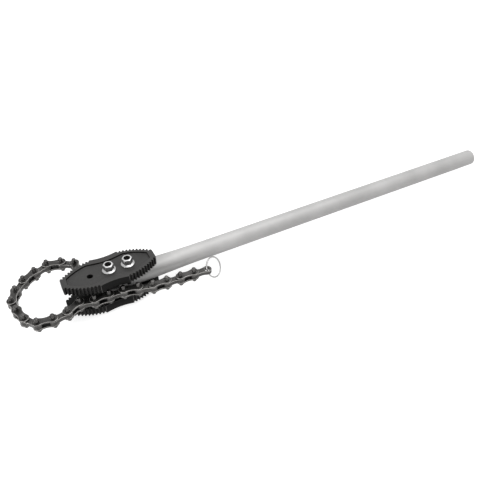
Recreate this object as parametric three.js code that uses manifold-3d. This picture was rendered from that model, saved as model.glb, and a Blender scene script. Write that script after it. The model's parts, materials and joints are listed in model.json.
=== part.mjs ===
// Chain wrench: two toothed jaws bolted to a tube handle, with a leaf chain looped through them.
// Millimetres. +X runs along the handle to its far end, +Z is up, and the origin is the centre
// of the lower face of the middle bolt's head, on which the wrench lies.

import * as THREE from 'three';
import Module from 'manifold-3d';
import { mergeVertices } from 'three/addons/utils/BufferGeometryUtils.js';

const wasm = await Module();
wasm.setup();

// Shared clearances
const seatGap = 0.2;
const runningGap = 0.25;
const cutOverrun = 5;
const weldDistance = 1e-4;

// Handle tube, its core and its end plug
const tubeRadius = 16.85;
const tubeWall = 3.25;
const tubeReach = 862;
const tubeSides = 32;
const frontRounding = 15.8;
const frontSquaring = 0.4;
const squareReach = 45;
const roundStart = 165;
const coreReach = 62;
const plugHeadThickness = 3;
const plugEdgeRadius = 1.8;
const plugStemLength = 22;

// Jaw plates, the same piece used twice
const jawHalfLength = 83;
const tipHalfWidth = 10.7;
const waistHalfLength = 24.5;
const waistHalfWidth = 35.5;
const waistHollow = 1.6;
const jawThickness = 16.4;
const tipCornerRadius = 4.5;
const toothArcRise = 4.8;
const toothCount = 10;
const toothDepth = 3.2;
const toothFlankShares = [0.15, 0.37, 0.63, 0.85];
const rimAtTeeth = 8;
const rimAtTip = 10;
const rimAtWaist = 11;
const recessHalfLength = 33.5;
const recessCornerRadius = 5.5;
const recessDepth = 4.2;
const recessFillet = 2.4;
const boltSpacing = 34;

// Hook lugs on the jaws' inner faces, one by each waist corner
const lugLength = 7;
const lugWidth = 7.3;
const lugInset = 5.6;
const lugCornerRadius = 1.6;
const lugRoot = 3.8;
const lugChainClearance = 1.6;

// Bolts and flange nuts
const boltRadius = 5;
const boltHoleClearance = 0.3;
const hexAcrossFlats = 16;
const hexChamfer = 1;
const hexTurn = 18;
const flangeRadius = 12;
const flangeThickness = 2;
const flangeSlope = 1.2;
const boltHeadHeight = 8.6;
const nutHeight = 13.3;
const nutRecess = 5.5;

// Chain: solid inner blocks between pairs of outer plates, on headless pins
const pitch = 25.4;
const linkCount = 25;
const blockHeight = 7.8;
const blockEndRadius = 8;
const blockWaist = 6.1;
const plateThickness = 2.8;
const plateEndRadius = 8.6;
const plateWaist = 6.6;
const pinRadius = 3.6;
const pinProud = 8.2;
const pinChamfer = 1;
const anchorSlotClearance = 0.5;

// Pull ring at the free end
const ringRadius = 18.7;
const ringWireRadius = 1.4;
const ringEyeRadius = 5.3;

// Turn of each link from the one before, in degrees, as the chain lies
const anchorHeading = 166;
const farSideTurns = [-28, -38, -15, 61];
const loopTurns = [20, 35, 9, 17, 19, 31.8, 8.2, 25.4, 40.4, 17.5, 16.4];
const nearSideTurns = [-39, 13.3, -3, -10, -3];
const tailTurns = [12, 0, 0, 0];
const ringHeading = 28.7;
const ringDip = 16.4;
const ringRoll = 32;

// Sizes worked out from those above
const jawInnerFace = tubeRadius + seatGap;
const jawRimLevel = jawInnerFace + jawThickness;
const webLevel = jawRimLevel - recessDepth;
const plateInner = blockHeight / 2 + runningGap;
const plateOuter = plateInner + plateThickness;
const pinHalfLength = plateOuter + pinProud;
const lugFace = plateOuter + lugChainClearance;
const boltHoleRadius = boltRadius + boltHoleClearance;
const pinHoleRadius = pinRadius + runningGap;
const middleHeight = webLevel + seatGap + boltHeadHeight;
const slotEnd = blockEndRadius + anchorSlotClearance;

// Facets
const linkEndSteps = 6;
const linkWaistSteps = 3;
const pinSides = 12;
const pinHoleSides = 12;
const boltSides = 16;
const roundSides = 20;
const ringWireSides = 6;
const ringSteps = 28;
const tipCornerSteps = 3;
const recessArcSteps = 4;
const recessFilletSteps = 2;
const squaringSteps = 6;
const plugEdgeSteps = 3;

const steel = (color, roughness, metalness) =>
  new THREE.MeshStandardMaterial({ color, roughness, metalness });
const paint = {
  jaw: steel(0x474542, 0.55, 0.6),
  chain: steel(0x55544e, 0.45, 0.8),
  handle: steel(0xb4b0aa, 0.5, 0.3),
  zinc: steel(0xd4d5d2, 0.3, 0.9),
  wire: steel(0xb9b9b2, 0.35, 0.9),
};

// Geometry to solid and back, for joins and cuts
function toSolid(geometry) {
  const plain = geometry.clone();
  plain.deleteAttribute('normal');
  plain.deleteAttribute('uv');
  const welded = mergeVertices(plain, weldDistance);
  return new wasm.Manifold(new wasm.Mesh({
    numProp: 3,
    vertProperties: welded.attributes.position.array,
    triVerts: welded.index.array,
  }));
}

function toGeometry(solid) {
  const mesh = solid.getMesh();
  const geometry = new THREE.BufferGeometry();
  geometry.setAttribute('position', new THREE.BufferAttribute(mesh.vertProperties, 3));
  geometry.setIndex(new THREE.BufferAttribute(mesh.triVerts, 1));
  geometry.computeVertexNormals();
  return geometry;
}

function arcPoints(centreX, centreY, radius, from, to, steps) {
  return Array.from({ length: steps + 1 }, (_, i) => {
    const angle = from + (to - from) * i / steps;
    return new THREE.Vector2(centreX + radius * Math.cos(angle), centreY + radius * Math.sin(angle));
  });
}

function circlePath(centreX, centreY, radius, sides) {
  const points = arcPoints(centreX, centreY, radius, 0, 2 * Math.PI, sides);
  return new THREE.Path(points.slice(0, -1));
}

function prism(shape, low, high) {
  const geometry = new THREE.ExtrudeGeometry(shape, { depth: high - low, bevelEnabled: false });
  return geometry.translate(0, 0, low);
}

function uprightRod(radius, low, high, sides) {
  const geometry = new THREE.CylinderGeometry(radius, radius, high - low, sides);
  return geometry.rotateX(Math.PI / 2).translate(0, 0, (low + high) / 2);
}

function box(from, to) {
  const geometry = new THREE.BoxGeometry(to[0] - from[0], to[1] - from[1], to[2] - from[2]);
  return geometry.translate((from[0] + to[0]) / 2, (from[1] + to[1]) / 2, (from[2] + to[2]) / 2);
}

// A turned form about Z from [radius, height] pairs
function turnedUpright(profile, sides) {
  const points = profile.map(([radius, height]) => new THREE.Vector2(radius, height));
  return new THREE.LatheGeometry(points, sides).rotateX(Math.PI / 2);
}

// The figure-eight outline of a link whose first pin is at the origin
function waistedOutline(endRadius, waist) {
  const half = pitch / 2;
  const hollow = (half ** 2 + waist ** 2 - endRadius ** 2) / (2 * (endRadius - waist));
  const turn = Math.atan2(waist + hollow, half);
  const open = Math.PI - turn;
  const waistArc = (side, from, to) =>
    arcPoints(half, side * (waist + hollow), hollow, from, to, linkWaistSteps).slice(1, -1);
  return [
    ...arcPoints(pitch, 0, endRadius, -open, open, linkEndSteps),
    ...waistArc(1, -turn, -open),
    ...arcPoints(0, 0, endRadius, turn, 2 * Math.PI - turn, linkEndSteps),
    ...waistArc(-1, open, turn),
  ];
}

function linkShape(endRadius, waist, firstHole, lastHole) {
  const shape = new THREE.Shape(waistedOutline(endRadius, waist));
  if (firstHole > 0) shape.holes.push(circlePath(0, 0, firstHole, pinHoleSides));
  if (lastHole > 0) shape.holes.push(circlePath(pitch, 0, lastHole, pinHoleSides));
  return shape;
}

// Inner link: one forged block, bored for two pins
function blockGeometry(firstHole, lastHole) {
  const shape = linkShape(blockEndRadius, blockWaist, firstHole, lastHole);
  return prism(shape, -blockHeight / 2, blockHeight / 2);
}

function pinGeometry() {
  return turnedUpright([
    [0, -pinHalfLength],
    [pinRadius - pinChamfer, -pinHalfLength],
    [pinRadius, -pinHalfLength + pinChamfer],
    [pinRadius, pinHalfLength - pinChamfer],
    [pinRadius - pinChamfer, pinHalfLength],
    [0, pinHalfLength],
  ], pinSides);
}

// Outer link, lower half: a plate with both pins riveted into it
function pinnedPlateGeometry() {
  const plate = prism(linkShape(plateEndRadius, plateWaist, 0, 0), -plateOuter, -plateInner);
  const pins = [0, pitch].map((x) => toSolid(pinGeometry().translate(x, 0, 0)));
  return toGeometry(toSolid(plate).add(pins[0]).add(pins[1]));
}

// Outer link, upper half: a plate pressed over the two pins
function topPlateGeometry() {
  const shape = linkShape(plateEndRadius, plateWaist, pinHoleRadius, pinHoleRadius);
  return prism(shape, plateInner, plateOuter);
}

// Centre, radius and first angle of the arc that carries the teeth of one quarter
function toothArc() {
  const run = jawHalfLength - waistHalfLength;
  const fall = waistHalfWidth - tipHalfWidth;
  const halfChord = Math.hypot(run, fall) / 2;
  const radius = (halfChord ** 2 + toothArcRise ** 2) / (2 * toothArcRise);
  const back = (radius - toothArcRise) / (2 * halfChord);
  const x = (jawHalfLength + waistHalfLength) / 2 - fall * back;
  const y = (waistHalfWidth + tipHalfWidth) / 2 - run * back;
  return {
    x,
    y,
    radius,
    atWaist: Math.atan2(waistHalfWidth - y, waistHalfLength - x),
  };
}

// Rounded corner between the tooth arc, or one inside it, and the straight end of the tip
function tipCorner(arc, radius, endX, cornerRadius) {
  const x = endX - cornerRadius;
  const y = arc.y + Math.sqrt((radius - cornerRadius) ** 2 - (x - arc.x) ** 2);
  const from = Math.atan2(y - arc.y, x - arc.x);
  return { from, points: arcPoints(x, y, cornerRadius, from, 0, tipCornerSteps) };
}

// Mirrors one quarter's points, listed from the waist to the tip, into a whole outline
function mirroredOutline(quarter) {
  const back = [...quarter].reverse();
  const flip = (points, signX, signY) => points.map((p) => new THREE.Vector2(signX * p.x, signY * p.y));
  return [
    ...flip(back, 1, 1),
    ...flip(quarter, -1, 1).slice(1),
    ...flip(back, -1, -1),
    ...flip(quarter, 1, -1).slice(1),
  ];
}

// Shallow hollow from the middle of a side out to its corner
function hollowSide(halfLength, halfWidth, hollow, steps) {
  return Array.from({ length: steps }, (_, i) => {
    const share = i / steps;
    return new THREE.Vector2(halfLength * share, halfWidth - hollow * (1 - share ** 2));
  });
}

function jawOutline() {
  const arc = toothArc();
  const corner = tipCorner(arc, arc.radius, jawHalfLength, tipCornerRadius);
  const tooth = (corner.from - arc.atWaist) / toothCount;
  const at = (radius, angle) => arcPoints(arc.x, arc.y, radius, angle, angle, 1)[0];
  const quarter = hollowSide(waistHalfLength, waistHalfWidth, waistHollow, 3);
  quarter.push(at(arc.radius, arc.atWaist));
  for (let i = 0; i < toothCount; i += 1) {
    const angles = toothFlankShares.map((share) => arc.atWaist + (i + share) * tooth);
    quarter.push(at(arc.radius, angles[0]));
    quarter.push(at(arc.radius - toothDepth, angles[1]));
    quarter.push(at(arc.radius - toothDepth, angles[2]));
    quarter.push(at(arc.radius, angles[3]));
  }
  quarter.push(...corner.points);
  return mirroredOutline(quarter);
}

function recessOutline() {
  const arc = toothArc();
  const radius = arc.radius - rimAtTeeth;
  const corner = tipCorner(arc, radius, jawHalfLength - rimAtTip, recessCornerRadius);
  const fromAngle = Math.acos((recessHalfLength - arc.x) / radius);
  const sweep = arcPoints(arc.x, arc.y, radius, fromAngle, corner.from, recessArcSteps);
  const middle = waistHalfWidth - waistHollow - rimAtWaist;
  const side = hollowSide(sweep[0].x, sweep[0].y, sweep[0].y - middle, 3);
  return mirroredOutline([...side, ...sweep.slice(0, -1), ...corner.points]);
}

function roundedRectangle(halfX, halfY, radius, steps) {
  const corner = (signX, signY, from) =>
    arcPoints(signX * (halfX - radius), signY * (halfY - radius), radius, from, from + Math.PI / 2, steps);
  return new THREE.Shape([
    ...corner(1, 1, 0),
    ...corner(-1, 1, Math.PI / 2),
    ...corner(-1, -1, Math.PI),
    ...corner(1, -1, 1.5 * Math.PI),
  ]);
}

// Jaw plate, outer face up: toothed rim, sunk web, three bolt holes, four hook lugs below
function jawGeometry() {
  let solid = toSolid(prism(new THREE.Shape(jawOutline()), jawInnerFace, jawRimLevel));
  const recess = new THREE.ExtrudeGeometry(new THREE.Shape(recessOutline()), {
    depth: cutOverrun,
    bevelThickness: recessFillet,
    bevelSize: recessFillet,
    bevelOffset: -recessFillet,
    bevelSegments: recessFilletSteps,
  });
  solid = solid.subtract(toSolid(recess.translate(0, 0, webLevel + recessFillet)));
  const lugX = waistHalfLength;
  const lugY = waistHalfWidth - lugInset - lugWidth / 2;
  const lug = roundedRectangle(lugLength / 2, lugWidth / 2, lugCornerRadius, 2);
  for (const [signX, signY] of [[1, 1], [-1, 1], [-1, -1], [1, -1]]) {
    const body = prism(lug, lugFace, jawInnerFace + lugRoot);
    solid = solid.add(toSolid(body.translate(signX * lugX, signY * lugY, 0)));
  }
  for (const x of [-boltSpacing, 0, boltSpacing]) {
    const hole = uprightRod(boltHoleRadius, jawInnerFace - cutOverrun, jawRimLevel + cutOverrun, boltSides);
    solid = solid.subtract(toSolid(hole.translate(x, 0, 0)));
  }
  return toGeometry(solid);
}

// Cuts shared by the tube and its core: rounded front, anchor slot and two bolt holes
function cutForJaws(solid) {
  const tall = tubeRadius + cutOverrun;
  const front = toSolid(box([-tall, -tall, -tall], [0, tall, tall]))
    .subtract(toSolid(uprightRod(frontRounding, -tall - cutOverrun, tall + cutOverrun, roundSides)));
  const slotHalf = blockHeight / 2 + anchorSlotClearance;
  const slot = toSolid(box([-tall, -tall, -slotHalf], [slotEnd, tall, slotHalf]));
  const holes = [0, boltSpacing].map((x) =>
    toSolid(uprightRod(boltHoleRadius, -tall, tall, boltSides).translate(x, 0, 0)));
  return solid.subtract(front).subtract(slot).subtract(holes[0]).subtract(holes[1]);
}

function lyingRod(radius, fromX, toX, sides) {
  const geometry = new THREE.CylinderGeometry(radius, radius, toX - fromX, sides);
  return geometry.rotateZ(-Math.PI / 2).translate((fromX + toX) / 2, 0, 0);
}

// A turned form about X from [radius, place] pairs
function turnedLying(profile, sides) {
  const points = profile.map(([radius, place]) => new THREE.Vector2(radius, place));
  return new THREE.LatheGeometry(points, sides).rotateZ(-Math.PI / 2);
}

// Tube without its bore: round, but pressed towards a square where the jaws hold it
function tubeOutside() {
  const places = Array.from({ length: squaringSteps + 1 }, (_, i) =>
    squareReach + (roundStart - squareReach) * i / squaringSteps);
  const wall = [-frontRounding, ...places, tubeReach].map((place) => [tubeRadius, place]);
  const geometry = turnedLying([[0, -frontRounding], ...wall, [0, tubeReach]], tubeSides);
  const vertices = geometry.attributes.position;
  for (let i = 0; i < vertices.count; i += 1) {
    const x = vertices.getX(i);
    const power = 1 - frontSquaring * THREE.MathUtils.smoothstep(-x, -roundStart, -squareReach);
    const pressed = (value) => Math.sign(value) * tubeRadius * Math.abs(value / tubeRadius) ** power;
    vertices.setXYZ(i, x, pressed(vertices.getY(i)), pressed(vertices.getZ(i)));
  }
  return geometry;
}

function tubeGeometry() {
  const outside = toSolid(tubeOutside());
  const bore = lyingRod(tubeRadius - tubeWall, -frontRounding - cutOverrun, tubeReach + cutOverrun, tubeSides);
  return toGeometry(cutForJaws(outside.subtract(toSolid(bore))));
}

// Solid bar pressed into the tube so that the bolts can't crush it
function coreGeometry() {
  const bar = lyingRod(tubeRadius - tubeWall - seatGap, -frontRounding, coreReach, tubeSides);
  return toGeometry(cutForJaws(toSolid(bar)));
}

// Turned plug that closes the far end, its head rounded at the edge
function plugGeometry() {
  const stem = tubeRadius - tubeWall - seatGap;
  const edge = arcPoints(tubeRadius - plugEdgeRadius, plugHeadThickness - plugEdgeRadius,
    plugEdgeRadius, 0, Math.PI / 2, plugEdgeSteps);
  return turnedLying([
    [0, -plugStemLength],
    [stem, -plugStemLength],
    [stem, 0],
    [tubeRadius, 0],
    ...edge.map((p) => [p.x, p.y]),
    [0, plugHeadThickness],
  ], tubeSides);
}

// Hexagon on a coned flange, its seat at zero and its top chamfered
function flangedHexagon(height) {
  const corner = hexAcrossFlats / Math.sqrt(3);
  const turn = THREE.MathUtils.degToRad(hexTurn);
  const hexagon = toSolid(uprightRod(corner, flangeThickness / 2, height, 6).rotateZ(turn));
  const limit = turnedUpright([
    [0, 0],
    [corner, 0],
    [corner, height - hexChamfer],
    [corner - 2 * hexChamfer, height],
    [0, height],
  ], roundSides);
  const flange = turnedUpright([
    [0, 0],
    [flangeRadius, 0],
    [flangeRadius, flangeThickness - flangeSlope],
    [hexAcrossFlats / 2, flangeThickness + flangeSlope],
    [0, flangeThickness + flangeSlope],
  ], roundSides);
  return hexagon.intersect(toSolid(limit)).add(toSolid(flange));
}

// Bolt with its head's seat at zero, head up and shank down
function boltGeometry() {
  const length = 2 * webLevel + 2 * seatGap + nutHeight - nutRecess;
  const shank = toSolid(uprightRod(boltRadius, -length, flangeThickness, boltSides));
  return toGeometry(flangedHexagon(boltHeadHeight).add(shank));
}

function nutGeometry() {
  const bore = uprightRod(boltHoleRadius, -cutOverrun, nutHeight + cutOverrun, boltSides);
  return toGeometry(flangedHexagon(nutHeight).subtract(toSolid(bore)));
}

// Ring that hangs through the eye at the origin, its centre out along +X
function ringGeometry() {
  const torus = new THREE.TorusGeometry(ringRadius, ringWireRadius, ringWireSides, ringSteps);
  return torus.rotateX(Math.PI / 2).translate(ringRadius, 0, 0);
}

function part(name, geometry, material) {
  const mesh = new THREE.Mesh(geometry, material);
  mesh.name = name;
  return mesh;
}

const twoDigits = (number) => String(number).padStart(2, '0');

// One link: odd numbers are blocks, even numbers are a pair of plates
function link(number, forms) {
  const group = new THREE.Group();
  const label = `link_${twoDigits(number)}`;
  if (number % 2 === 0) {
    group.add(part(`${label}_pinned_plate`, forms.pinnedPlate, paint.chain));
    group.add(part(`${label}_top_plate`, forms.topPlate, paint.chain));
  } else if (number === 1) {
    group.add(part(`${label}_anchor_block`, forms.anchorBlock, paint.chain));
  } else if (number === linkCount) {
    group.add(part(`${label}_end_block`, forms.endBlock, paint.chain));
  } else {
    group.add(part(`${label}_block`, forms.block, paint.chain));
  }
  return group;
}

// The chain hangs link from link, so turning one carries all those after it
function chain() {
  const forms = {
    pinnedPlate: pinnedPlateGeometry(),
    topPlate: topPlateGeometry(),
    block: blockGeometry(pinHoleRadius, pinHoleRadius),
    anchorBlock: blockGeometry(boltHoleRadius, pinHoleRadius),
    endBlock: blockGeometry(pinHoleRadius, ringEyeRadius),
  };
  const turns = [anchorHeading, ...farSideTurns, ...loopTurns, ...nearSideTurns, ...tailTurns];
  const links = turns.map((_, i) => link(i + 1, forms));
  links.forEach((group, i) => {
    group.rotation.z = THREE.MathUtils.degToRad(turns[i]);
    if (i > 0) {
      group.position.x = pitch;
      links[i - 1].add(group);
    }
  });
  const ring = part('pull_ring', ringGeometry(), paint.wire);
  ring.rotation.order = 'ZYX';
  ring.rotation.set(
    THREE.MathUtils.degToRad(-ringRoll),
    THREE.MathUtils.degToRad(ringDip),
    THREE.MathUtils.degToRad(ringHeading),
  );
  ring.position.x = pitch;
  links[links.length - 1].add(ring);
  return links[0];
}

function jaws() {
  const geometry = jawGeometry();
  const upper = part('jaw_upper', geometry, paint.jaw);
  const lower = part('jaw_lower', geometry, paint.jaw);
  lower.rotation.x = Math.PI;
  return [upper, lower];
}

function fasteners() {
  const bolt = boltGeometry();
  const nut = nutGeometry();
  const seat = webLevel + seatGap;
  return [['centre', 0], ['rear', boltSpacing]].flatMap(([place, x]) => {
    const boltPart = part(`bolt_${place}`, bolt, paint.zinc);
    boltPart.rotation.x = Math.PI;
    boltPart.position.set(x, 0, -seat);
    const nutPart = part(`nut_${place}`, nut, paint.zinc);
    nutPart.position.set(x, 0, seat);
    return [boltPart, nutPart];
  });
}

function handle() {
  const plug = part('handle_end_plug', plugGeometry(), paint.handle);
  plug.position.x = tubeReach;
  return [
    part('handle_tube', tubeGeometry(), paint.handle),
    part('handle_core', coreGeometry(), paint.handle),
    plug,
  ];
}

const wrench = new THREE.Group();
wrench.position.z = middleHeight;
wrench.add(...handle(), ...jaws(), ...fasteners(), chain());

const model = new THREE.Group();
model.add(wrench);

export default model;
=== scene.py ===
"""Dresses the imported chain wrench: tube handle, toothed jaws, leaf chain and pull ring."""

from __future__ import annotations

import json
import logging
import math
from dataclasses import dataclass
from enum import Enum, IntEnum
from typing import Sequence, Union

import bpy
from mathutils import Matrix, Vector


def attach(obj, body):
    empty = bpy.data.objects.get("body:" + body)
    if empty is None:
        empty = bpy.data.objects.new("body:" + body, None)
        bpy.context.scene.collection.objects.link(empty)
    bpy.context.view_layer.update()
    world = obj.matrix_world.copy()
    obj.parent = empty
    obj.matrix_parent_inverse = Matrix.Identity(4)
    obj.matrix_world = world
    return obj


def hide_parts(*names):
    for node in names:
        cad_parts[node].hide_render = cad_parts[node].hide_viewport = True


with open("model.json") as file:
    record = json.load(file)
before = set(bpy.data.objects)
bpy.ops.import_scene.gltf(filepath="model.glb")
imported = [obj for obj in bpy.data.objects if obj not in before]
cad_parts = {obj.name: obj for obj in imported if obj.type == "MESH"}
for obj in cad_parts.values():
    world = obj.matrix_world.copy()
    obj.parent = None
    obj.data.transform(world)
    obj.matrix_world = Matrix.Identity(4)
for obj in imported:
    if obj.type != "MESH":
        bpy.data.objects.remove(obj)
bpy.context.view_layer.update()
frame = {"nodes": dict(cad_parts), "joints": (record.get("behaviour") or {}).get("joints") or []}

log = logging.getLogger("chain_wrench")

Point = tuple[float, float]
Colour = tuple[float, float, float, float]


class Body(Enum):
    """The moving bodies that pieces ride on, apart from the numbered links."""

    TOOL = "handle_and_jaws"
    RING = "ring"


class Slot(Enum):
    """The record's material slots."""

    HANDLE = "handle_paint"
    JAW = "jaw_steel"
    ZINC = "zinc_plate"
    CHAIN = "chain_steel"
    WIRE = "ring_wire"


class JawFinish(IntEnum):
    """Which of a jaw's finishes a face has, in the order that they are given in."""

    OUTER = 0
    SIDE = 1
    RUBBED = 2
    EDGE = 3


class LinkFinish(IntEnum):
    """Which of a chain part's finishes a face has, in the order that they are given in."""

    FLAT = 0
    SIDE = 1
    HIDDEN = 2
    EDGE = 3


# Shader building


class Sock:
    """A shader value that adds Math nodes when it is added or multiplied."""

    def __init__(self, board: "Board", socket: bpy.types.NodeSocket) -> None:
        """Keeps the node tree's board and the socket."""
        self.board = board
        self.socket = socket

    def _math(self, operation: str, first: "Value", second: "Value") -> "Sock":
        """Adds one Math node.

        Args:
            operation: the Math node's operation.
            first: its first value or link.
            second: its second value or link.

        Returns:
            The node's result.
        """
        return self.board.add("ShaderNodeMath", {"operation": operation}, {0: first, 1: second})

    def __add__(self, other: "Value") -> "Sock":
        """self + other."""
        return self._math("ADD", self, other)

    def __radd__(self, other: "Value") -> "Sock":
        """other + self."""
        return self._math("ADD", other, self)

    def __mul__(self, other: "Value") -> "Sock":
        """self * other."""
        return self._math("MULTIPLY", self, other)

    def __rmul__(self, other: "Value") -> "Sock":
        """other * self."""
        return self._math("MULTIPLY", other, self)


Value = Union[Sock, float]


class Board:
    """One material's node tree, with a Principled shader to feed."""

    def __init__(self, name: str) -> None:
        """Starts an empty material.

        Args:
            name: the material's name.
        """
        self.material = bpy.data.materials.new(name)
        self.material.use_nodes = True
        self.tree = self.material.node_tree
        self.tree.nodes.clear()
        self.shader = self.tree.nodes.new("ShaderNodeBsdfPrincipled")
        self.output = self.tree.nodes.new("ShaderNodeOutputMaterial")
        self.tree.links.new(self.shader.outputs["BSDF"], self.output.inputs["Surface"])
        self.place = self.add("ShaderNodeTexCoord", {}, {}, "Object")

    def add(self, kind: str, settings: dict, inputs: dict, output: Union[int, str] = 0) -> Sock:
        """Adds a node.

        Args:
            kind: the node's type.
            settings: properties that are set first.
            inputs: values or links by socket name or number.
            output: the output to hand back.

        Returns:
            That output as a value for more arithmetic.
        """
        node = self.tree.nodes.new(kind)
        for key, value in settings.items():
            setattr(node, key, value)
        for key, value in inputs.items():
            self.feed(node.inputs[key], value)
        return Sock(self, node.outputs[output])

    def feed(self, socket: bpy.types.NodeSocket, value: Union[Value, Colour]) -> None:
        """Links or sets one input socket.

        Args:
            socket: the input.
            value: a Sock to link, or a number or colour to set.
        """
        if isinstance(value, Sock):
            self.tree.links.new(value.socket, socket)
        else:
            socket.default_value = value

    def set(self, **inputs: Union[Value, Colour]) -> None:
        """Feeds the shader's inputs, named with underscores for spaces."""
        for key, value in inputs.items():
            self.feed(self.shader.inputs[key.replace("_", " ")], value)

    def noise(self, scale: float, detail: float = 3.0, roughness: float = 0.5) -> Sock:
        """Noise over object coordinates.

        Args:
            scale: how many cells there are in a metre.
            detail: octaves of finer noise.
            roughness: how strong the finer octaves are.

        Returns:
            The noise value, about 0.5 on average.
        """
        return self.add(
            "ShaderNodeTexNoise",
            {},
            {"Vector": self.place, "Scale": scale, "Detail": detail, "Roughness": roughness},
            "Fac",
        )

    def ramp(self, value: Sock, low: float, high: float) -> Sock:
        """Spreads a value between two levels over 0 to 1, held at both ends.

        Args:
            value: the value to spread.
            low: the level that becomes 0.
            high: the level that becomes 1.

        Returns:
            The spread value.
        """
        inputs = {"Value": value, "From Min": low, "From Max": high}
        return self.add("ShaderNodeMapRange", {"clamp": True}, inputs, "Result")

    def mix(self, share: Sock, first: Union[Sock, Colour], second: Union[Sock, Colour]) -> Sock:
        """Mixes two colours.

        Args:
            share: 0 for the first, 1 for the second.
            first: a colour or link.
            second: a colour or link.

        Returns:
            The mixed colour.
        """
        return self.add("ShaderNodeMix", {"data_type": "RGBA"}, {0: share, 6: first, 7: second}, 2)

    def bump(self, height: Sock, depth: float) -> None:
        """Feeds the shader's normal from a height between 0 and 1, of that depth in metres."""
        self.set(Normal=self.add("ShaderNodeBump", {}, {"Height": height, "Distance": depth}))


def grey(level: float, warmth: float = 0.0) -> Colour:
    """A grey, a little redder and less blue by the warmth given."""
    return (level * (1 + warmth), level, level * (1 - warmth), 1.0)


@dataclass(frozen=True)
class HandlePaint:
    """Light grey satin paint over steel tube, with a fine orange peel."""

    pale: float = 0.5
    dull: float = 0.42
    warmth: float = 0.012
    cloud_scale: float = 14.0
    cloud_range: Point = (0.35, 0.65)
    fleck_scale: float = 2400.0
    fleck_range: Point = (0.35, 0.7)
    fleck_share: float = 0.25
    fleck_lift: float = 1.12
    roughness: float = 0.4
    cloud_roughness: float = 0.06
    fleck_roughness: float = 0.05
    metallic: float = 0.18
    gloss: float = 0.4
    peel_scale: float = 900.0
    peel_depth: float = 0.00003
    # Painted shade, low down on the tube near the jaws, where the chain and jaws shade it.
    painted_shade: float = 0.9
    painted_shade_level: float = 0.05
    painted_shade_warmth: float = 0.03
    painted_shade_from: float = 0.26
    painted_shade_to: float = 0.09
    painted_shade_top: float = 0.041
    painted_shade_bottom: float = 0.026
    painted_shade_edge_scale: float = 40.0
    painted_shade_edge_drop: float = 0.004

    def material(self) -> bpy.types.Material:
        """The paint, with shade painted in low down by the jaws.

        Returns:
            The material, built from noise on object coordinates.
        """
        board = Board("handle_paint_satin")
        place = {
            axis: board.add("ShaderNodeSeparateXYZ", {}, {0: board.place}, axis) for axis in "XZ"
        }
        # Painted shade: darker low down near the jaws, with a ragged noisy edge, standing in for
        # the shade of the chain and jaws.
        near = board.ramp(place["X"], self.painted_shade_from, self.painted_shade_to)
        height = place["Z"] + board.noise(self.painted_shade_edge_scale) * self.painted_shade_edge_drop
        low = board.ramp(height, self.painted_shade_top, self.painted_shade_bottom)
        cloud = board.ramp(board.noise(self.cloud_scale, 4.0, 0.6), *self.cloud_range)
        fleck = board.ramp(board.noise(self.fleck_scale, 2.0), *self.fleck_range)
        base = board.mix(cloud, grey(self.dull, self.warmth), grey(self.pale, self.warmth))
        coat = board.mix(fleck * self.fleck_share, base, grey(self.pale * self.fleck_lift))
        shade_colour = grey(self.painted_shade_level, self.painted_shade_warmth)
        board.set(
            Base_Color=board.mix(near * low * self.painted_shade, coat, shade_colour),
            Roughness=self.roughness + cloud * self.cloud_roughness + fleck * self.fleck_roughness,
            Metallic=self.metallic,
            Specular_IOR_Level=self.gloss,
        )
        board.bump(board.noise(self.peel_scale, 3.0), self.peel_depth)
        return board.material


@dataclass(frozen=True)
class CastFinish:
    """A steel or plated finish: mottled, slightly pitted, between two greys and roughnesses."""

    name: str
    dark: float
    pale: float
    rough_low: float
    rough_high: float
    metallic: float
    pit_scale: float
    pit_depth: float
    warmth: float = 0.03
    gloss: float = 0.5
    cloud_scale: float = 60.0
    cloud_range: Point = (0.35, 0.65)
    speck_range: Point = (0.3, 0.7)
    cloud_colour: float = 0.5
    cloud_roughness: float = 0.4

    def material(self) -> bpy.types.Material:
        """The finish, its colour and roughness mottled alike.

        Returns:
            The material, built from noise at two scales on object coordinates.
        """
        board = Board(self.name)
        board.set(Specular_IOR_Level=self.gloss)
        cloud = board.ramp(board.noise(self.cloud_scale, 4.0, 0.6), *self.cloud_range)
        speck = board.ramp(board.noise(self.pit_scale, 4.0, 0.65), *self.speck_range)
        tone = cloud * self.cloud_colour + speck * (1 - self.cloud_colour)
        wear = cloud * self.cloud_roughness + speck * (1 - self.cloud_roughness)
        dark, pale = grey(self.dark, self.warmth), grey(self.pale, self.warmth)
        board.set(
            Base_Color=board.mix(tone, dark, pale),
            Roughness=self.rough_low + (self.rough_high - self.rough_low) * wear,
            Metallic=self.metallic,
        )
        board.bump(speck, self.pit_depth)
        return board.material


JAW_BLACK = CastFinish(
    "jaw_phosphate_black",
    dark=0.023,
    pale=0.036,
    rough_low=0.5,
    rough_high=0.66,
    metallic=0.1,
    pit_scale=1400.0,
    pit_depth=0.00006,
    warmth=0.025,
    gloss=0.35,
)
# Painted shade: a near-black copy of the jaw steel for the jaws' sides and the inner faces between
# them, standing in for the shade on them.
JAW_SIDE_SHADE = CastFinish(
    "jaw_sides_painted_shade",
    dark=0.003,
    pale=0.008,
    rough_low=0.5,
    rough_high=0.65,
    metallic=0.0,
    pit_scale=1400.0,
    pit_depth=0.00006,
    gloss=0.1,
)
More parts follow.
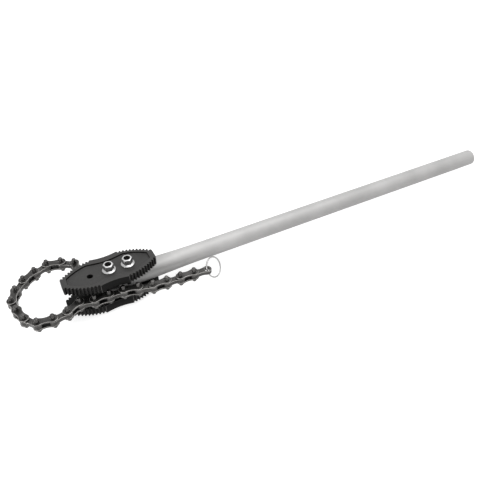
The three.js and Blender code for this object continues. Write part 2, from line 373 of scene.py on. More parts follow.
# Worn corners with a painted glint: a paler, more metallic copy of the jaw steel for the waist
# corners.
JAW_RUBBED_GLINT = CastFinish(
    "jaw_corner_rubbed_and_glint",
    dark=0.04,
    pale=0.12,
    rough_low=0.3,
    rough_high=0.45,
    metallic=0.6,
    pit_scale=1400.0,
    pit_depth=0.00003,
)
JAW_EDGE = CastFinish(
    "jaw_edge_rubbed",
    dark=0.02,
    pale=0.055,
    rough_low=0.4,
    rough_high=0.55,
    metallic=0.5,
    pit_scale=1400.0,
    pit_depth=0.00003,
)
CHAIN_DARK = CastFinish(
    "chain_burnished_dark",
    dark=0.016,
    pale=0.07,
    rough_low=0.28,
    rough_high=0.46,
    metallic=0.8,
    pit_scale=900.0,
    pit_depth=0.00005,
)
# Painted light: a paler, glossier copy of the chain steel for the link sides, standing in for the
# light that they catch.
CHAIN_SIDE_LIT = CastFinish(
    "chain_sides_painted_light",
    dark=0.02,
    pale=0.1,
    rough_low=0.22,
    rough_high=0.38,
    metallic=0.85,
    pit_scale=900.0,
    pit_depth=0.00005,
)
# Painted shade: a near-black finish for the faces in the gaps between blocks and plates, standing
# in for the shade there.
CHAIN_GAP_SHADE = CastFinish(
    "chain_gap_painted_shade",
    dark=0.006,
    pale=0.014,
    rough_low=0.45,
    rough_high=0.6,
    metallic=0.0,
    pit_scale=900.0,
    pit_depth=0.00003,
    gloss=0.15,
)
CHAIN_EDGE = CastFinish(
    "chain_edge_bright",
    dark=0.2,
    pale=0.42,
    rough_low=0.28,
    rough_high=0.42,
    metallic=0.9,
    pit_scale=900.0,
    pit_depth=0.00003,
)
PIN_STEEL = CastFinish(
    "pin_steel_turned",
    dark=0.03,
    pale=0.12,
    rough_low=0.18,
    rough_high=0.3,
    metallic=0.9,
    pit_scale=1200.0,
    pit_depth=0.00003,
)
# Painted shade: a near-black finish for the inside of the nut's bore, standing in for the shade in
# it.
NUT_BORE_SHADE = CastFinish(
    "nut_bore_painted_shade",
    dark=0.012,
    pale=0.03,
    rough_low=0.4,
    rough_high=0.6,
    metallic=0.5,
    pit_scale=1200.0,
    pit_depth=0.00003,
    gloss=0.2,
)
ZINC_BRIGHT = CastFinish(
    "zinc_plate_bright",
    dark=0.4,
    pale=0.54,
    rough_low=0.2,
    rough_high=0.34,
    metallic=1.0,
    pit_scale=700.0,
    pit_depth=0.00002,
    warmth=0.0,
)
WIRE_STEEL = CastFinish(
    "ring_wire_steel",
    dark=0.3,
    pale=0.42,
    rough_low=0.25,
    rough_high=0.38,
    metallic=1.0,
    pit_scale=1500.0,
    pit_depth=0.00002,
    warmth=0.01,
)
CORE_STEEL = CastFinish(
    "core_steel_sawn",
    dark=0.3,
    pale=0.4,
    rough_low=0.4,
    rough_high=0.55,
    metallic=0.9,
    pit_scale=800.0,
    pit_depth=0.00004,
)


# Modelling moves

MERGE_REACH = 1e-5  # points nearer than this are one point
FLAT = 0.8  # least |z| of the normal of a face that counts as level
UPRIGHT = 0.1  # greatest |z| of the normal of a face that counts as upright


def deselect() -> None:
    """Leaves edit mode and deselects every object."""
    if bpy.context.object is not None and bpy.context.object.mode != "OBJECT":
        bpy.ops.object.mode_set(mode="OBJECT")
    bpy.ops.object.select_all(action="DESELECT")


def take(piece: bpy.types.Object) -> None:
    """Selects one object alone and makes it active.

    Args:
        piece: the object.
    """
    deselect()
    piece.select_set(True)
    bpy.context.view_layer.objects.active = piece


def named(name: str) -> bpy.types.Object:
    """Names the object just added, with its place moved into its mesh.

    Args:
        name: the object's and its mesh's name.

    Returns:
        The object.
    """
    piece = bpy.context.object
    piece.name = name
    piece.data.name = name
    bpy.ops.object.transform_apply(location=True, rotation=True, scale=True)
    return piece


def apply_modifier(piece: bpy.types.Object, kind: str, **settings: object) -> None:
    """Adds a modifier and applies it.

    Args:
        piece: the object to change.
        kind: the modifier's type.
        settings: its properties.
    """
    take(piece)
    modifier = piece.modifiers.new(kind.lower(), kind)
    for key, value in settings.items():
        setattr(modifier, key, value)
    bpy.ops.object.modifier_apply(modifier=modifier.name)


def cut(piece: bpy.types.Object, cutter: bpy.types.Object, operation: str = "DIFFERENCE") -> None:
    """Cuts, joins or intersects a piece with another, which is used up and leaves its finish.

    Args:
        piece: the object to change.
        cutter: the other object.
        operation: DIFFERENCE, UNION or INTERSECT.
    """
    apply_modifier(
        piece,
        "BOOLEAN",
        object=cutter,
        operation=operation,
        solver="EXACT",
        material_mode="TRANSFER",
    )
    bpy.data.objects.remove(cutter)


def face_outwards(piece: bpy.types.Object) -> None:
    """Merges doubled points and turns every face outwards.

    Args:
        piece: the object to change.
    """
    take(piece)
    bpy.ops.object.mode_set(mode="EDIT")
    bpy.ops.mesh.select_all(action="SELECT")
    bpy.ops.mesh.remove_doubles(threshold=MERGE_REACH)
    bpy.ops.mesh.normals_make_consistent(inside=False)
    bpy.ops.object.mode_set(mode="OBJECT")


def round_edges(
    piece: bpy.types.Object,
    width: float,
    segments: int = 2,
    sharper_than: float = 32.0,
    slot: int = -1,
) -> None:
    """Rounds the sharp edges.

    Args:
        piece: the object to change.
        width: the rounding's width in metres.
        segments: how many faces the rounding has.
        sharper_than: the least angle in degrees between two faces that counts as sharp.
        slot: the finish of the rounding among the piece's finishes, the last if none is given.
    """
    apply_modifier(
        piece,
        "BEVEL",
        width=width,
        segments=segments,
        limit_method="ANGLE",
        angle_limit=math.radians(sharper_than),
        material=slot % len(piece.data.materials),
        use_clamp_overlap=True,
    )
    face_outwards(piece)


def smooth(piece: bpy.types.Object, angle: float = 34.0) -> None:
    """Shades the piece smooth across edges flatter than the angle in degrees."""
    take(piece)
    bpy.ops.object.shade_smooth_by_angle(angle=math.radians(angle))


def turned(name: str, profile: Sequence[Point], sides: int) -> bpy.types.Object:
    """Turns a profile about Z by extruding and scaling one ring after another.

    Args:
        name: the piece's name.
        profile: (radius, height) pairs from one end to the other.
        sides: points in each ring.

    Returns:
        The closed, turned piece.
    """
    deselect()
    radius, height = profile[0]
    bpy.ops.mesh.primitive_circle_add(
        vertices=sides, radius=radius, fill_type="NGON", location=(0, 0, height)
    )
    piece = named(name)
    bpy.ops.object.mode_set(mode="EDIT")
    bpy.ops.mesh.select_all(action="SELECT")
    for next_radius, next_height in profile[1:]:
        rise, scale = next_height - height, next_radius / radius
        bpy.ops.mesh.extrude_region_move(TRANSFORM_OT_translate={"value": (0, 0, rise)})
        bpy.ops.transform.resize(value=(scale, scale, 1), center_override=(0, 0, next_height))
        radius, height = next_radius, next_height
    bpy.ops.object.mode_set(mode="OBJECT")
    face_outwards(piece)
    return piece


def slab(name: str, outline: Sequence[Point], low: float, high: float) -> bpy.types.Object:
    """A filled circle drawn out to an outline and extruded.

    Args:
        name: the piece's name.
        outline: the points of the outline in order.
        low: height of the lower face.
        high: height of the upper face.

    Returns:
        The closed slab.
    """
    deselect()
    bpy.ops.mesh.primitive_circle_add(vertices=len(outline), radius=1, fill_type="NGON")
    piece = named(name)
    for vertex, (x, y) in zip(piece.data.vertices, outline):
        vertex.co = (x, y, low)
    bpy.ops.object.mode_set(mode="EDIT")
    bpy.ops.mesh.select_all(action="SELECT")
    bpy.ops.mesh.extrude_region_move(TRANSFORM_OT_translate={"value": (0, 0, high - low)})
    bpy.ops.object.mode_set(mode="OBJECT")
    face_outwards(piece)
    return piece


def rod(
    radius: float, low: float, high: float, x: float = 0.0, sides: int = 48
) -> bpy.types.Object:
    """An upright cylinder for cutting.

    Args:
        radius: its radius.
        low: height of its foot.
        high: height of its top.
        x: where its axis is.
        sides: how many flat sides stand for its round.

    Returns:
        The cylinder.
    """
    deselect()
    bpy.ops.mesh.primitive_cylinder_add(
        vertices=sides, radius=radius, depth=high - low, location=(x, 0, (low + high) / 2)
    )
    return named("cutter")


def block(low: Sequence[float], high: Sequence[float]) -> bpy.types.Object:
    """A box for cutting.

    Args:
        low: the corner with the least coordinates.
        high: the opposite corner.

    Returns:
        The box.
    """
    deselect()
    middle = [(a + b) / 2 for a, b in zip(low, high)]
    sides = [b - a for a, b in zip(low, high)]
    bpy.ops.mesh.primitive_cube_add(size=1, location=middle, scale=sides)
    return named("cutter")


def arc(centre: Point, radius: float, start: float, end: float, steps: int) -> list[Point]:
    """Points along an arc.

    Args:
        centre: the arc's centre.
        radius: its radius.
        start: first angle in radians.
        end: last angle in radians.
        steps: how many straight steps stand for it.

    Returns:
        The points, one more than the steps.
    """
    angles = [start + (end - start) * i / steps for i in range(steps + 1)]
    return [(centre[0] + radius * math.cos(a), centre[1] + radius * math.sin(a)) for a in angles]


def dress(piece: bpy.types.Object, body: str, node: str) -> None:
    """Makes a piece ride on its body in place of its CAD node.

    Args:
        piece: the finished piece.
        body: the body that carries it.
        node: the CAD node that it stands for.
    """
    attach(piece, body)
    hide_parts(node)
    log.info("%s rides on %s", piece.name, body)


def paint(piece: bpy.types.Object, *finishes: bpy.types.Material) -> None:
    """Gives a piece its finishes in place of any that it has.

    Args:
        piece: the object to change.
        finishes: the first goes all over, until faces are given another.
    """
    piece.data.materials.clear()
    for finish in finishes:
        piece.data.materials.append(finish)


def placed_copy(master: bpy.types.Object, name: str, place: Matrix) -> bpy.types.Object:
    """Copies a piece with a mesh of its own, moved to its place.

    Args:
        master: the piece to copy.
        name: the copy's name.
        place: where the copy goes.

    Returns:
        The copy, its object at the origin.
    """
    copy = bpy.data.objects.new(name, master.data.copy())
    bpy.context.scene.collection.objects.link(copy)
    copy.data.name = name
    copy.data.transform(place)
    return copy


# The object's sub-assemblies


@dataclass
class Handle:
    """The painted tube with its far end plug."""

    middle: float
    radius: float = 0.01685
    wall: float = 0.00325
    reach: float = 0.862
    front_rounding: float = 0.0158
    front_squaring: float = 0.4
    square_reach: float = 0.045
    round_start: float = 0.165
    slot_half: float = 0.0044
    slot_end: float = 0.0085
    bolt_hole: float = 0.0053
    bolt_spacing: float = 0.034
    plug_stem: float = 0.022
    plug_head: float = 0.003
    plug_edge: float = 0.0018
    plug_play: float = 0.0002
    plug_centre: float = 0.001
    edge_width: float = 0.0004
    cutter_reach: float = 0.03
    press_steps: int = 24
    edge_steps: int = 8
    front_sides: int = 64
    sides: int = 96

    def tube(self) -> bpy.types.Object:
        """The tube, bored, rounded in front and slotted for the anchor link.

        Returns:
            The tube, lying along +X from the centre bolt at the origin.
        """
        steps, far = self.press_steps, self.cutter_reach
        span = self.round_start - self.square_reach
        places = [self.square_reach + span * i / steps for i in range(steps + 1)]
        stations = [-self.front_rounding, *places, self.reach]
        tube = turned("tube_painted", [(self.radius, place) for place in stations], self.sides)
        self.press(tube)
        tube.data.transform(Matrix.Rotation(math.pi / 2, 4, "Y"))
        bpy.ops.mesh.primitive_cylinder_add(
            vertices=self.sides,
            radius=self.radius - self.wall,
            depth=2 * self.reach,
            rotation=(0, math.pi / 2, 0),
            location=(self.reach / 2, 0, 0),
        )
        cut(tube, named("cutter"))
        wide, tall = self.radius * 2, self.radius * 3
        cheeks = block([-wide] * 3, [0, wide, wide])
        cut(cheeks, rod(self.front_rounding, -tall, tall, sides=self.front_sides))
        cut(tube, cheeks)
        cut(tube, block([-far, -far, -self.slot_half], [self.slot_end, far, self.slot_half]))
        for x in (0, self.bolt_spacing):
            cut(tube, rod(self.bolt_hole, -far, far, x))
        return tube

    def press(self, tube: bpy.types.Object) -> None:
        """Presses the upright tube's round section towards a square near its front.

        Args:
            tube: the tube, standing along Z.
        """
        for vertex in tube.data.vertices:
            share = (self.round_start - vertex.co.z) / (self.round_start - self.square_reach)
            share = min(max(share, 0.0), 1.0)
            power = 1 - self.front_squaring * share * share * (3 - 2 * share)
            for axis in (0, 1):
                part = vertex.co[axis] / self.radius
                vertex.co[axis] = math.copysign(self.radius * abs(part) ** power, part)

    def plug(self) -> bpy.types.Object:
        """The turned plug that closes the far end, rounded over its edge.

        Returns:
            The plug, in its place at the end of the tube.
        """
        inner = self.radius - self.wall - self.plug_play
        top, round_by = self.plug_stem + self.plug_head, self.plug_edge
        stem = [(self.plug_centre, 0), (inner, 0)]
        stem += [(inner, self.plug_stem), (self.radius, self.plug_stem)]
        edge_centre = (self.radius - round_by, top - round_by)
        edge = arc(edge_centre, round_by, 0, math.pi / 2, self.edge_steps)
        profile = stem + edge + [(self.plug_centre, top)]
        plug = turned("end_plug_painted", profile, self.sides)
        start = Matrix.Translation((self.reach - self.plug_stem, 0, 0))
        plug.data.transform(start @ Matrix.Rotation(math.pi / 2, 4, "Y"))
        return plug

    def build(self, coat: bpy.types.Material, core: bpy.types.Material) -> None:
        """Builds and dresses the tube and plug, and finishes the CAD core.

        Args:
            coat: the paint.
            core: the bare steel of the core.
        """
        for piece, node in ((self.tube(), "handle_tube"), (self.plug(), "handle_end_plug")):
            paint(piece, coat)
            round_edges(piece, self.edge_width)
            smooth(piece)
            piece.data.transform(Matrix.Translation((0, 0, self.middle)))
            dress(piece, Body.TOOL.value, node)
        paint(frame["nodes"]["handle_core"], core)


@dataclass
class Jaws:
    """The two toothed jaw plates, made from the frame's upper one and rounded over their edges."""

    middle: float
    edge_width: float = 0.00045
    inner_face: float = 0.01705
    web_level: float = 0.02925
    waist_half_length: float = 0.0245
    waist_half_width: float = 0.0355
    waist_deepening: float = 0.0016
    waist_band: float = 0.004
    middle_band: float = 0.02
    level_play: float = 0.0001
    face_play: float = 0.001
    flat_angle: float = 0.5
    land: float = 0.0016

    def hollow(self, jaw: bpy.types.Object) -> None:
        """Draws the waist's sides, and the web's edges beside them, further in.

        Args:
            jaw: the merged jaw.
        """
        reach = self.waist_half_length
        for vertex in jaw.data.vertices:
            level, width = abs(vertex.co.z - self.middle), abs(vertex.co.y)
            on_side = width > self.waist_half_width - self.waist_band
            outer = on_side and level > self.inner_face - self.face_play
            if abs(vertex.co.x) < reach and (outer or level > self.web_level - self.level_play):
                share = 1 - (vertex.co.x / reach) ** 2
                move = min(width / self.middle_band, 1) * self.waist_deepening * share
                vertex.co.y -= math.copysign(move, vertex.co.y)

    def finish_faces(self, jaw: bpy.types.Object) -> None:
        """Gives the sides and inner faces their painted shade, and the rubbed waist corners a worn
        finish with a painted glint.

        Args:
            jaw: the merged jaw with its finishes.
        """
        corner = Vector((self.waist_half_length, self.waist_half_width))
        for face in jaw.data.polygons:
            # The sides and the inner faces between the jaws take painted shade.
            inner = abs(face.center.z - self.middle) < self.web_level - self.face_play
            if abs(face.normal.z) < FLAT or inner:
                face.material_index = JawFinish.SIDE
            place = Vector((abs(face.center.x), abs(face.center.y)))
            # The waist corners take the worn finish with a painted glint.
            if abs(face.normal.z) < UPRIGHT and (place - corner).length < self.land:
                face.material_index = JawFinish.RUBBED

    def build(self, *finishes: bpy.types.Material) -> None:
        """Builds and dresses both jaws, the lower one a copy of the upper one turned over.

        Args:
            finishes: the outer faces' finish, the sides' painted shade, the rubbed corners' worn
                finish with a painted glint, and the rounded edges' finish.
        """
        upper = placed_copy(frame["nodes"]["jaw_upper"], "jaw_upper_cast", Matrix.Identity(4))
        take(upper)
        bpy.ops.object.mode_set(mode="EDIT")
        bpy.ops.mesh.select_all(action="SELECT")
        bpy.ops.mesh.remove_doubles(threshold=MERGE_REACH)
        bpy.ops.mesh.dissolve_limited(angle_limit=math.radians(self.flat_angle))
        bpy.ops.object.mode_set(mode="OBJECT")
        paint(upper, *finishes)
        self.hollow(upper)
        self.finish_faces(upper)
        round_edges(upper, self.edge_width)
        smooth(upper)
        lift = Matrix.Translation((0, 0, 2 * self.middle))
        lower = placed_copy(upper, "jaw_lower_cast", lift @ Matrix.Rotation(math.pi, 4, "X"))
        for jaw, node in ((upper, "jaw_upper"), (lower, "jaw_lower")):
            dress(jaw, Body.TOOL.value, node)


@dataclass
class Fasteners:
    """Flange bolts and flange nuts, with the nuts up."""

    middle: float
    zinc: bpy.types.Material
    # The painted shade for the nut's bore.
    bore_shade: bpy.types.Material
    seat: float = 0.02945
    spacing: float = 0.034
    shank: float = 0.005
    hole: float = 0.0053
    across_flats: float = 0.016
    chamfer: float = 0.001
    hex_turn: float = 18.0
    flange_radius: float = 0.012
    flange_edge: float = 0.0003
    flange_rim: float = 0.0012
    flange_shoulder: float = 0.0016
    flange_top: float = 0.0029
    flange_slope: float = 0.0005
    hexagon_foot: float = 0.0008
    head_height: float = 0.0086
    nut_height: float = 0.0133
    nut_recess: float = 0.0055
    shank_tip: float = 0.0008
    overlap: float = 0.001
    mouth_depth: float = 0.0007
    mouth_flare: float = 0.0009
    edge_width: float = 0.00025
    sides: int = 64
    bore_sides: int = 48

    def hexagon(self, name: str, height: float) -> bpy.types.Object:
        """A chamfered hexagon on its coned flange, seat at zero.

        Args:
            name: the piece's name.
            height: the top's height over the seat.

        Returns:
            The piece without bore or shank.
        """
        corner = self.across_flats / math.sqrt(3)
        piece = turned(name, [(corner, self.hexagon_foot), (corner, height)], 6)
        paint(piece, self.zinc)
        piece.data.transform(Matrix.Rotation(math.radians(self.hex_turn), 4, "Z"))
        crown = [(corner, -self.overlap), (corner, height - self.chamfer)]
        crown.append((corner - 2 * self.chamfer, height))
        cut(piece, turned("cutter", crown, self.sides), "INTERSECT")
        flange = [
            (self.flange_radius - self.flange_edge, 0),
            (self.flange_radius, self.flange_edge),
            (self.flange_radius, self.flange_rim),
            (self.flange_radius - self.flange_slope, self.flange_shoulder),
            (self.across_flats / 2 - self.flange_edge, self.flange_top),
        ]
        cut(piece, turned("cutter", flange, self.sides), "UNION")
        return piece

    def bolt(self) -> bpy.types.Object:
        """The bolt, head up, seat at zero, its shank down.

        Returns:
            The bolt.
        """
        length = 2 * self.seat + self.nut_height - self.nut_recess
        bolt = self.hexagon("bolt", self.head_height)
        tip = self.shank_tip
        shank = [(self.shank - tip, -length), (self.shank, tip - length)]
        shank.append((self.shank, 2 * self.overlap))
        cut(bolt, turned("cutter", shank, self.bore_sides), "UNION")
        return bolt

    def nut(self) -> bpy.types.Object:
        """The nut, seat at zero, its mouth countersunk and its bore painted dark as shade.

        Returns:
            The nut.
        """
        nut = self.hexagon("nut", self.nut_height)
        start, flare = self.nut_height - self.mouth_depth, self.mouth_flare
        profile = [(self.hole, -self.overlap), (self.hole, start)]
        profile.append((self.hole + flare, start + flare))
        bore = turned("cutter", profile, self.bore_sides)
        # The bore cutter leaves painted shade on the bore's faces.
        paint(bore, self.bore_shade)
        cut(nut, bore)
        return nut

    def build(self) -> None:
        """Builds and dresses both bolts and both nuts."""
        bolt, nut = self.bolt(), self.nut()
        for master in (bolt, nut):
            round_edges(master, self.edge_width, slot=0)
            smooth(master)
        over = Matrix.Rotation(math.pi, 4, "X")
        for side, x in (("centre", 0.0), ("rear", self.spacing)):
            low = Matrix.Translation((x, 0, self.middle - self.seat)) @ over
            high = Matrix.Translation((x, 0, self.middle + self.seat))
            for master, kind, place in ((bolt, "bolt", low), (nut, "nut", high)):
                piece = placed_copy(master, f"flange_{kind}_{side}", place)
                dress(piece, Body.TOOL.value, f"{kind}_{side}")
        for master in (bolt, nut):
            bpy.data.objects.remove(master)


@dataclass
class Chain:
    """The leaf chain: blocks between plate pairs, and pins standing proud of both plates."""

    middle: float
    pitch: float = 0.0254
    links: int = 25
    block_height: float = 0.0078
    block_end: float = 0.008
    block_waist: float = 0.0056
    plate_gap: float = 0.00025
    plate_thickness: float = 0.0028
    plate_end: float = 0.0086
    plate_waist: float = 0.006
    pin_radius: float = 0.0036
    pin_proud: float = 0.0082
    pin_hole: float = 0.00385
    eye: float = 0.0053
    anchor_hole: float = 0.0053
    pin_dome: tuple[Point, ...] = (
        (0.0, 0.0009),
        (0.0003, 0.0004),
        (0.0009, 0.0001),
        (0.0019, 0.0),
    )
    edge_width: float = 0.0005
    edge_segments: int = 3
    hidden_play: float = 0.0001
    cutter_reach: float = 0.02
    waist_steps: int = 8
    end_steps: int = 22
    sides: int = 32

    def outline(self, end: float, waist: float) -> list[Point]:
        """The figure-eight outline of a link whose first pin is at the origin.

        Args:
            end: radius round each pin.
            waist: half width between the pins.

        Returns:
            The outline's points.
        """
        half = self.pitch / 2
        hollow = (half**2 + waist**2 - end**2) / (2 * (end - waist))
        turn = math.atan2(waist + hollow, half)
        spread = math.pi - turn
        above = arc((half, waist + hollow), hollow, -turn, -spread, self.waist_steps)[1:-1]
        below = arc((half, -waist - hollow), hollow, spread, turn, self.waist_steps)[1:-1]
        first = arc((0, 0), end, turn, 2 * math.pi - turn, self.end_steps)
        second = arc((self.pitch, 0), end, -spread, spread, self.end_steps)
        return second + above + first + below

    def leaf(self, name: str, sizes: Point, span: Point, holes: Point) -> bpy.types.Object:
        """One flat link part, bored where a hole is given.

        Args:
            name: the piece's name.
            sizes: end radius and waist.
            span: lowest and highest height.
            holes: radii of the two holes, zero for none.

        Returns:
            The link part, lying along +X.
        """
        leaf = slab(name, self.outline(*sizes), *span)
        far = self.cutter_reach
        for x, radius in zip((0, self.pitch), holes):
            if radius:
                cut(leaf, rod(radius, -far, far, x, self.sides))
        return leaf

    def pin(self, x: float) -> bpy.types.Object:
        """One pin, slightly domed at both ends.

        Args:
            x: where its axis is.

        Returns:
            The upright pin, its middle at the mid plane.
        """
        half = self.block_height / 2 + self.plate_gap + self.plate_thickness + self.pin_proud
        top = [(self.pin_radius - inset, half - drop) for inset, drop in self.pin_dome]
        bottom = [(radius, -height) for radius, height in reversed(top)]
        pin = turned("pin", bottom + top, self.sides)
        pin.data.transform(Matrix.Translation((x, 0, 0)))
        return pin

    def masters(self, *finishes: bpy.types.Material) -> dict[str, bpy.types.Object]:
        """The five kinds of flat part, lying along +X at the mid plane.

        Args:
            finishes: the flat faces' finish, the sides' painted light, the hidden faces' painted
                shade and the rounded edges' finish.

        Returns:
            The parts by kind.
        """
        inner = (self.block_end, self.block_waist)
        outer = (self.plate_end, self.plate_waist)
        half = self.block_height / 2
        low, high = half + self.plate_gap, half + self.plate_gap + self.plate_thickness
        middle = (-half, half)
        made = {
            "anchor": self.leaf("anchor", inner, middle, (self.anchor_hole, self.pin_hole)),
            "block": self.leaf("block", inner, middle, (self.pin_hole, self.pin_hole)),
            "end": self.leaf("end", inner, middle, (self.pin_hole, self.eye)),
            "top": self.leaf("top", outer, (low, high), (self.pin_hole, self.pin_hole)),
            "low": self.leaf("low", outer, (-high, -low), (0, 0)),
        }
        for piece in made.values():
            paint(piece, *finishes)
            # The sides take painted light and the faces in the gaps between block and plates take
            # painted shade.
            for face in piece.data.polygons:
                if abs(face.normal.z) < FLAT:
                    face.material_index = LinkFinish.SIDE
                if half + self.hidden_play < abs(face.center.z) < low + self.hidden_play:
                    face.material_index = LinkFinish.HIDDEN
            round_edges(piece, self.edge_width, self.edge_segments)
        return made

    def build(self, steel: bpy.types.Material, *finishes: bpy.types.Material) -> None:
        """Builds and dresses every link.

        Args:
            steel: the pins' finish.
            finishes: the flat faces' finish, the sides' painted light, the hidden faces' painted
                shade and the rounded edges' finish.
        """
        made = self.masters(*finishes)
        for x in (0, self.pitch):
            pin = self.pin(x)
            paint(pin, steel)
            cut(made["low"], pin, "UNION")
        for piece in made.values():
            smooth(piece)
        places = [Vector(joint["pos_m"]) for joint in frame["joints"]]
        for number in range(1, self.links + 1):
            start, end = places[number - 1], places[number]
            heading = math.atan2(end.y - start.y, end.x - start.x)
            place = Matrix.Translation(start) @ Matrix.Rotation(heading, 4, "Z")
            self.link(number, made, place)
        for piece in made.values():
            bpy.data.objects.remove(piece)

    def link(self, number: int, made: dict[str, bpy.types.Object], place: Matrix) -> None:
        """Places one link's parts.

        Args:
            number: which link it is, from 1 at the anchor.
            made: the parts to copy.
            place: the link's place and heading.
        """
        kinds = {1: [("anchor", "anchor_block")], self.links: [("end", "end_block")]}
        if number % 2 == 0:
            kinds[number] = [("low", "pinned_plate"), ("top", "top_plate")]
        for kind, node in kinds.get(number, [("block", "block")]):
            piece = placed_copy(made[kind], f"chain_{number:02d}_{kind}", place)
            dress(piece, f"chain_link_{number:02d}", f"link_{number:02d}_{node}")


@dataclass
class PullRing:
    """The wire ring in the eye of the last link."""

    radius: float = 0.0187
    wire: float = 0.0014
    heading: float = 28.7
    dip: float = 16.4
    roll: float = 32.0
    sides: int = 96
    wire_sides: int = 16
    smooth_angle: float = 60.0

    def build(self, finish: bpy.types.Material) -> None:
        """Builds and dresses the ring.

        Args:
            finish: the wire's finish.
        """
        last, eye = (Vector(joint["pos_m"]) for joint in frame["joints"][-2:])
        link_heading = math.atan2(eye.y - last.y, eye.x - last.x)
        deselect()
        bpy.ops.mesh.primitive_torus_add(
            major_radius=self.radius,
            minor_radius=self.wire,
            major_segments=self.sides,
            minor_segments=self.wire_sides,
        )
        ring = named("ring_of_wire")
        place = (
            Matrix.Translation(eye)
            @ Matrix.Rotation(link_heading + math.radians(self.heading), 4, "Z")
            @ Matrix.Rotation(math.radians(self.dip), 4, "Y")
            @ Matrix.Rotation(math.radians(-self.roll), 4, "X")
            @ Matrix.Translation((self.radius, 0, 0))
            @ Matrix.Rotation(math.pi / 2, 4, "X")
        )
        ring.data.transform(place)
        paint(ring, finish)
        smooth(ring, self.smooth_angle)
        dress(ring, Body.RING.value, "pull_ring")


@dataclass(frozen=True)
class Lamp:
    """A square soft lamp: its name, place, what it faces, its side in metres and its power."""

    name: str
    place: tuple[float, float, float]
    target: tuple[float, float, float]
    size: float
    watts: float

    def build(self) -> None:
        """Adds the lamp to the scene."""
        data = bpy.data.lights.new(self.name, "AREA")
        data.shape = "SQUARE"
        data.size = self.size
        data.energy = self.watts
        lamp = bpy.data.objects.new(self.name, data)
        way = Vector(self.target) - Vector(self.place)
        aim = way.to_track_quat("-Z", "Y").to_matrix().to_4x4()
        lamp.matrix_world = Matrix.Translation(self.place) @ aim
        bpy.context.scene.collection.objects.link(lamp)


LAMPS = (
    Lamp("overhead", place=(0.65, 0.1, 1.8), target=(0.5, 0, 0), size=1.8, watts=21.0),
    Lamp("behind", place=(0.3, 1.2, 1.2), target=(0.2, 0, 0), size=1.4, watts=4.0),
    Lamp("front", place=(0.9, -1.3, 1.4), target=(0.3, 0, 0), size=2.0, watts=7.0),
    Lamp("left", place=(-1.2, -0.35, 0.6), target=(0, 0, 0), size=0.45, watts=9.0),
)


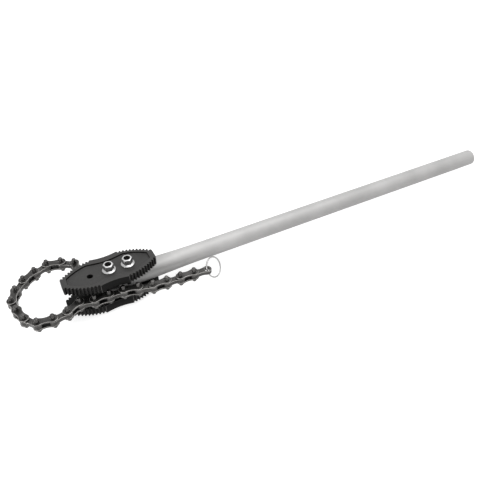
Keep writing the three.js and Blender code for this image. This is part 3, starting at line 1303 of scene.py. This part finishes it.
@dataclass
class Studio:
    """The white floor, soft lamps and the camera at the photograph's angle."""

    place: tuple[float, float, float] = (-0.1192, -0.7073, 0.7201)
    yaw: float = 28.05
    pitch: float = 40.72
    roll: float = -0.19
    focal_pixels: float = 542.4
    frame_pixels: int = 480
    sensor: float = 36.0
    nearest: float = 0.01
    floor_size: float = 40.0
    floor_level: float = 0.5
    floor_roughness: float = 0.9
    floor_glow: float = 0.75
    ambient: float = 0.35

    def camera(self) -> None:
        """Sets up the scene's camera."""
        data = bpy.data.cameras.new("photo_camera")
        data.sensor_width = self.sensor
        data.lens = self.focal_pixels / self.frame_pixels * self.sensor
        data.clip_start = self.nearest
        camera = bpy.data.objects.new("photo_camera", data)
        camera.matrix_world = (
            Matrix.Translation(self.place)
            @ Matrix.Rotation(math.radians(-self.yaw), 4, "Z")
            @ Matrix.Rotation(math.radians(90 - self.pitch), 4, "X")
            @ Matrix.Rotation(math.radians(self.roll), 4, "Z")
        )
        bpy.context.scene.collection.objects.link(camera)
        bpy.context.scene.camera = camera

    def floor(self) -> None:
        """Adds a wide floor that shows as white but keeps a soft shadow."""
        deselect()
        bpy.ops.mesh.primitive_plane_add(size=self.floor_size)
        floor = named("studio_floor")
        board = Board("studio_floor_white")
        board.set(Base_Color=grey(self.floor_level), Roughness=self.floor_roughness)
        seen = board.add("ShaderNodeLightPath", {}, {}, "Is Camera Ray")
        for ray in ("Is Glossy Ray", "Is Transmission Ray"):
            seen = seen + board.add("ShaderNodeLightPath", {}, {}, ray)
        white = {"Color": grey(1.0)}
        glow = board.add("ShaderNodeEmission", {}, {**white, "Strength": self.floor_glow})
        nothing = board.add("ShaderNodeEmission", {}, {**white, "Strength": 0.0})
        lift = board.add("ShaderNodeMixShader", {}, {0: seen, 1: nothing, 2: glow})
        total = board.add("ShaderNodeAddShader", {}, {1: lift})
        board.tree.links.new(board.shader.outputs["BSDF"], total.socket.node.inputs[0])
        board.tree.links.new(total.socket, board.output.inputs["Surface"])
        paint(floor, board.material)

    def world(self) -> None:
        """Sets up a world that shows and reflects as white and lights the object more softly."""
        world = bpy.data.worlds.new("studio_world")
        world.use_nodes = True
        nodes, links = world.node_tree.nodes, world.node_tree.links
        background = nodes["Background"]
        background.inputs["Color"].default_value = grey(1.0)
        path = nodes.new("ShaderNodeLightPath")
        seen = path.outputs["Is Camera Ray"]
        for ray in ("Is Glossy Ray", "Is Transmission Ray"):
            joined = nodes.new("ShaderNodeMath")
            links.new(seen, joined.inputs[0])
            links.new(path.outputs[ray], joined.inputs[1])
            seen = joined.outputs[0]
        strength = nodes.new("ShaderNodeMapRange")
        links.new(seen, strength.inputs["Value"])
        strength.inputs["To Min"].default_value = self.ambient
        links.new(strength.outputs["Result"], background.inputs["Strength"])
        bpy.context.scene.world = world

    def build(self) -> None:
        """Builds the studio."""
        self.camera()
        self.floor()
        self.world()
        for lamp in LAMPS:
            lamp.build()
        bpy.context.scene.view_settings.view_transform = "Standard"


def main() -> None:
    """Builds the wrench piece by piece around the frame."""
    logging.basicConfig(level=logging.INFO, format="%(name)s: %(message)s")
    middle = frame["joints"][0]["pos_m"][2]
    Studio().build()
    Handle(middle).build(HandlePaint().material(), CORE_STEEL.material())
    jaw_finishes = (JAW_BLACK, JAW_SIDE_SHADE, JAW_RUBBED_GLINT, JAW_EDGE)
    Jaws(middle).build(*[finish.material() for finish in jaw_finishes])
    Fasteners(middle, ZINC_BRIGHT.material(), NUT_BORE_SHADE.material()).build()
    links = [finish.material() for finish in (CHAIN_DARK, CHAIN_SIDE_LIT, CHAIN_GAP_SHADE, CHAIN_EDGE)]
    Chain(middle).build(PIN_STEEL.material(), *links)
    PullRing().build(WIRE_STEEL.material())


if __name__ == "__main__":
    main()
